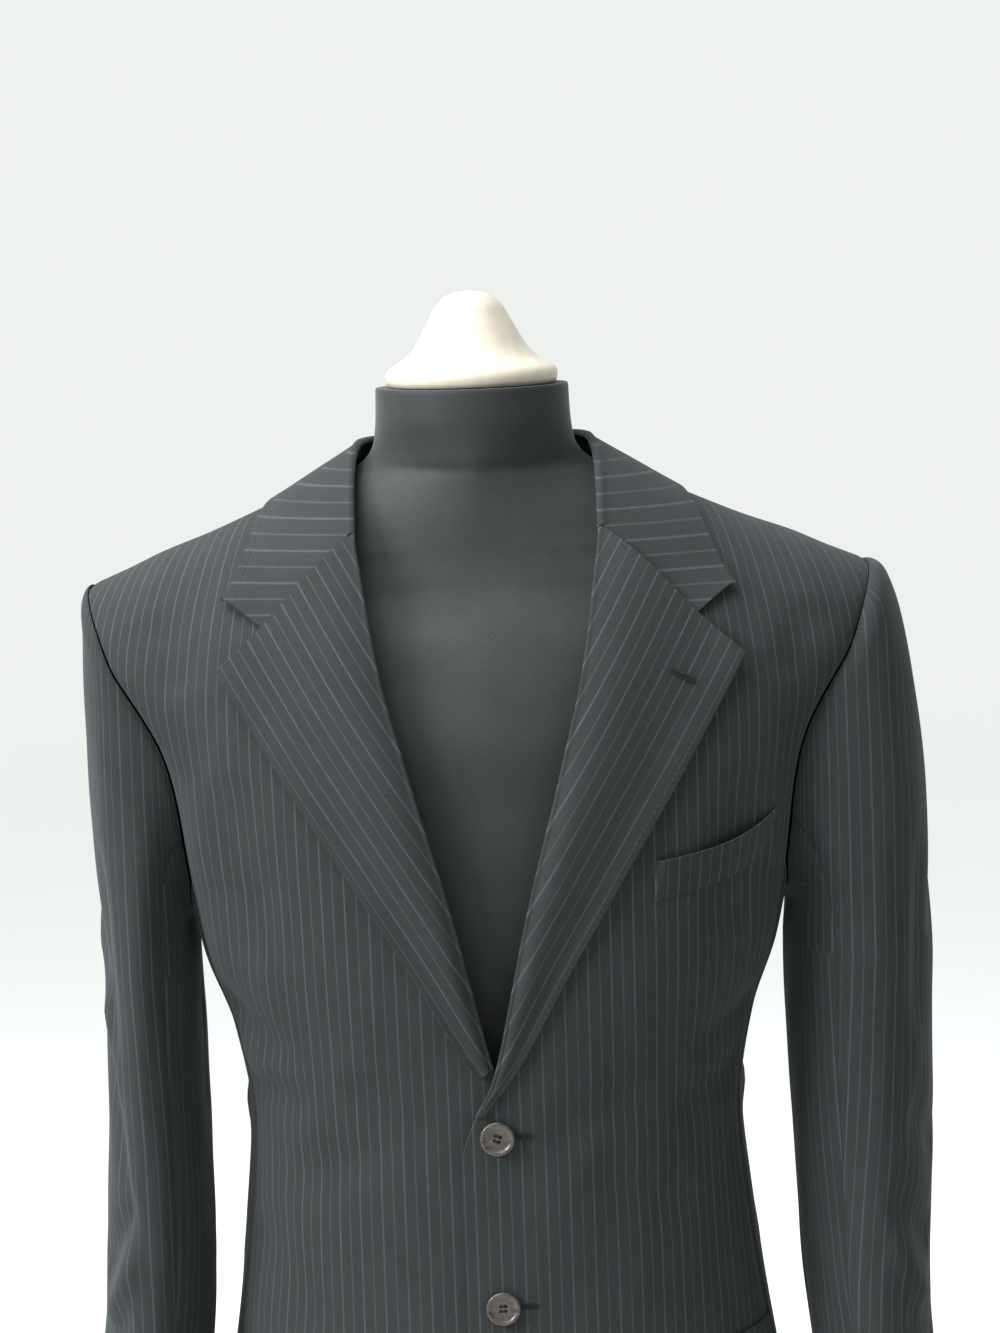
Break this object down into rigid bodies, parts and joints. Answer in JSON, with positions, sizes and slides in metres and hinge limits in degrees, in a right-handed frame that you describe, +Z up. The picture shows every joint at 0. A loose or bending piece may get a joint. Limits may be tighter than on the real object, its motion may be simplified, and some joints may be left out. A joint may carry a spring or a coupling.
{
  "type": "two-piece suit on dress form",
  "caption": "Pinstriped suit of notch-lapel jacket and trousers, worn by a limbless dress form with a wooden neck cap, on a pole and round base.",
  "frame": {"origin": "centre of the base plate's underside, on the floor", "axes": "+Z up; the suit faces -Y; +X is the wearer's left"},
  "size_m": [0.5395, 0.42, 1.6079],
  "materials": {
    "suiting": "charcoal grey worsted wool with fine pale blue-grey pinstripes",
    "button": "dark horn, softly polished",
    "form_cloth": "close black-grey jersey with a slight sheen",
    "wood": "pale turned wood under clear varnish",
    "steel": "brushed steel"
  },
  "bodies": {
    "root": {"front_left": "suiting", "side_left": "suiting", "back_left": "suiting", "sleeve_top_left": "suiting", "sleeve_under_left": "suiting", "lapel_left": "suiting", "flap_left": "suiting", "front_right": "suiting", "side_right": "suiting", "back_right": "suiting", "sleeve_top_right": "suiting", "sleeve_under_right": "suiting", "lapel_right": "suiting", "flap_right": "suiting", "collar": "suiting", "collar_stand": "suiting", "breast_welt": "suiting", "trouser_front_left": "suiting", "trouser_front_right": "suiting", "trouser_back_left": "suiting", "trouser_back_right": "suiting", "waistband": "suiting", "trouser_fly": "suiting", "front_button_1": "button", "front_button_2": "button", "cuff_button_left_1": "button", "cuff_button_left_2": "button", "cuff_button_left_3": "button", "cuff_button_left_4": "button", "cuff_button_right_1": "button", "cuff_button_right_2": "button", "cuff_button_right_3": "button", "cuff_button_right_4": "button", "form_body": "form_cloth", "neck_cap": "wood", "pole": "steel", "pole_socket": "steel", "base_plate": "steel"}
  },
  "joints": []
}
